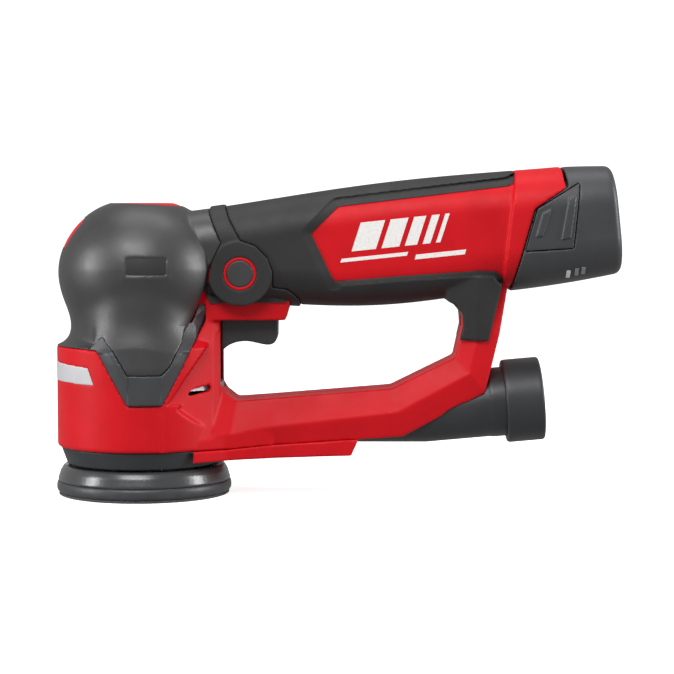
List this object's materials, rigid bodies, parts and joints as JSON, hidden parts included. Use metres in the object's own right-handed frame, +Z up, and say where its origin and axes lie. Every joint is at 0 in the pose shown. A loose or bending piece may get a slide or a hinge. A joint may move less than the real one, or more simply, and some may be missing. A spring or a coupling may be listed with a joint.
{
  "type": "orbital sander",
  "caption": "Cordless orbital sander: domed head over a round pad, loop handle with trigger, slide-in battery and rear dust outlet.",
  "frame": {"origin": "on the motor axis, in the plane of the sanding face", "axes": "+Z up along the motor axis, +X rearwards to the battery, +Y to the tool's right"},
  "size_m": [0.2591, 0.0827, 0.1508],
  "materials": {
    "red_shell": "fine moulded grain, satin",
    "grip_rubber": "soft matte rubber",
    "black_plastic": "fine moulded grain",
    "pale_band": "satin",
    "badge_plate": "satin",
    "screw_steel": "blackened",
    "bright_steel": "ground",
    "cast_alloy": "die cast",
    "laminations": "oxide blue",
    "copper": "enamelled winding wire",
    "counter_brass": "machined",
    "foam": "closed-cell foam",
    "hook": "hook pile",
    "stud_clear": "clear moulding",
    "spring_steel": "drawn wire",
    "green_board": "solder resist",
    "chip_black": "moulded epoxy",
    "lead_blue": "silicone sleeve",
    "cell_wrap": "shrink sleeve",
    "contact_brass": "plated",
    "gauge_lens": "clear lens"
  },
  "bodies": {
    "housing": {"shell_left": "red_shell", "shell_right": "red_shell", "head_boot": "grip_rubber", "crown_panel": "red_shell", "nose_panel": "red_shell", "frame_left": "grip_rubber", "frame_right": "grip_rubber", "grip_left": "grip_rubber", "grip_right": "grip_rubber", "collar_left": "grip_rubber", "collar_right": "grip_rubber", "badge_left": "badge_plate", "badge_right": "badge_plate", "nose_band": "pale_band", "lock_ring_left": "red_shell", "lock_ring_right": "red_shell", "shell_screws": "screw_steel", "duct_cover": "red_shell", "dust_duct": "black_plastic", "skirt": "black_plastic", "fan_shroud": "black_plastic", "flex_legs": "grip_rubber", "bearing_plate": "cast_alloy", "motor_can": "bright_steel", "end_bell": "cast_alloy", "lower_bearing": "bright_steel", "upper_bearing": "bright_steel", "stator_core": "laminations", "stator_coils": "copper", "trigger_spring": "spring_steel", "switch_body": "black_plastic", "dial_potentiometer": "green_board", "controller_tray": "black_plastic", "controller_board": "green_board", "board_parts": "chip_black", "terminal_block": "black_plastic", "motor_leads": "lead_blue"},
    "rotor": {"motor_shaft": "bright_steel", "rotor_core": "laminations", "dust_fan": "black_plastic", "counterweight": "counter_brass", "crank_screw": "screw_steel"},
    "pad": {"pad_bearing": "bright_steel", "pad_hub": "cast_alloy", "pad_plate": "black_plastic", "backing_pad": "foam", "hook_face": "hook", "rim_studs": "stud_clear", "pad_screws": "screw_steel"},
    "trigger": {"trigger": "black_plastic"},
    "lock": {"lock_shuttle": "black_plastic"},
    "dial": {"speed_dial": "black_plastic"},
    "battery": {"battery_cap": "black_plastic", "battery_stem": "black_plastic", "battery_cells": "cell_wrap", "battery_contacts": "contact_brass", "gauge_windows": "gauge_lens"},
    "latch_l": {"latch_left": "black_plastic"},
    "latch_r": {"latch_right": "black_plastic"},
    "adapter": {"hose_adapter": "black_plastic"}
  },
  "joints": [
    {"name": "spindle_spin", "type": "hinge", "parent": "housing", "child": "rotor", "pos_m": [0, 0, 0.05], "axis": [0, 0, 1], "continuous": true},
    {"name": "pad_orbit", "type": "hinge", "parent": "rotor", "child": "pad", "pos_m": [0, 0.0015, 0.019], "axis": [0, 0, 1], "continuous": true},
    {"name": "trigger_pull", "type": "slide", "parent": "housing", "child": "trigger", "axis": [0, 0, 1], "range_m": [0, 0.0055], "stiffness_N_per_m": 600, "springref_m": -0.003, "deforming": ["trigger_spring"]},
    {"name": "lock_press", "type": "slide", "parent": "housing", "child": "lock", "axis": [0, 1, 0], "range_m": [0, 0.003]},
    {"name": "dial_turn", "type": "hinge", "parent": "housing", "child": "dial", "pos_m": [0.1553, 0, 0.08], "axis": [0, 1, 0], "range_deg": [-135, 135]},
    {"name": "battery_slide", "type": "slide", "parent": "housing", "child": "battery", "axis": [0.9945, 0, 0.1045], "range_m": [0, 0.095]},
    {"name": "latch_left_press", "type": "hinge", "parent": "battery", "child": "latch_l", "pos_m": [0.1972, -0.0226, 0.128], "axis": [-0.0929, 0, -0.9957], "range_deg": [0, 4], "stiffness_Nm_per_rad": 0.6, "springref_deg": -2.86},
    {"name": "latch_right_press", "type": "hinge", "parent": "battery", "child": "latch_r", "pos_m": [0.1972, 0.0226, 0.128], "axis": [0.0929, 0, 0.9957], "range_deg": [0, 4], "stiffness_Nm_per_rad": 0.6, "springref_deg": -2.86},
    {"name": "adapter_pull", "type": "slide", "parent": "housing", "child": "adapter", "axis": [0.9962, 0, 0.0872], "range_m": [0, 0.022]}
  ],
  "couplings": [
    {"joint": "pad_orbit", "follows": "spindle_spin", "ratio": -1}
  ]
}
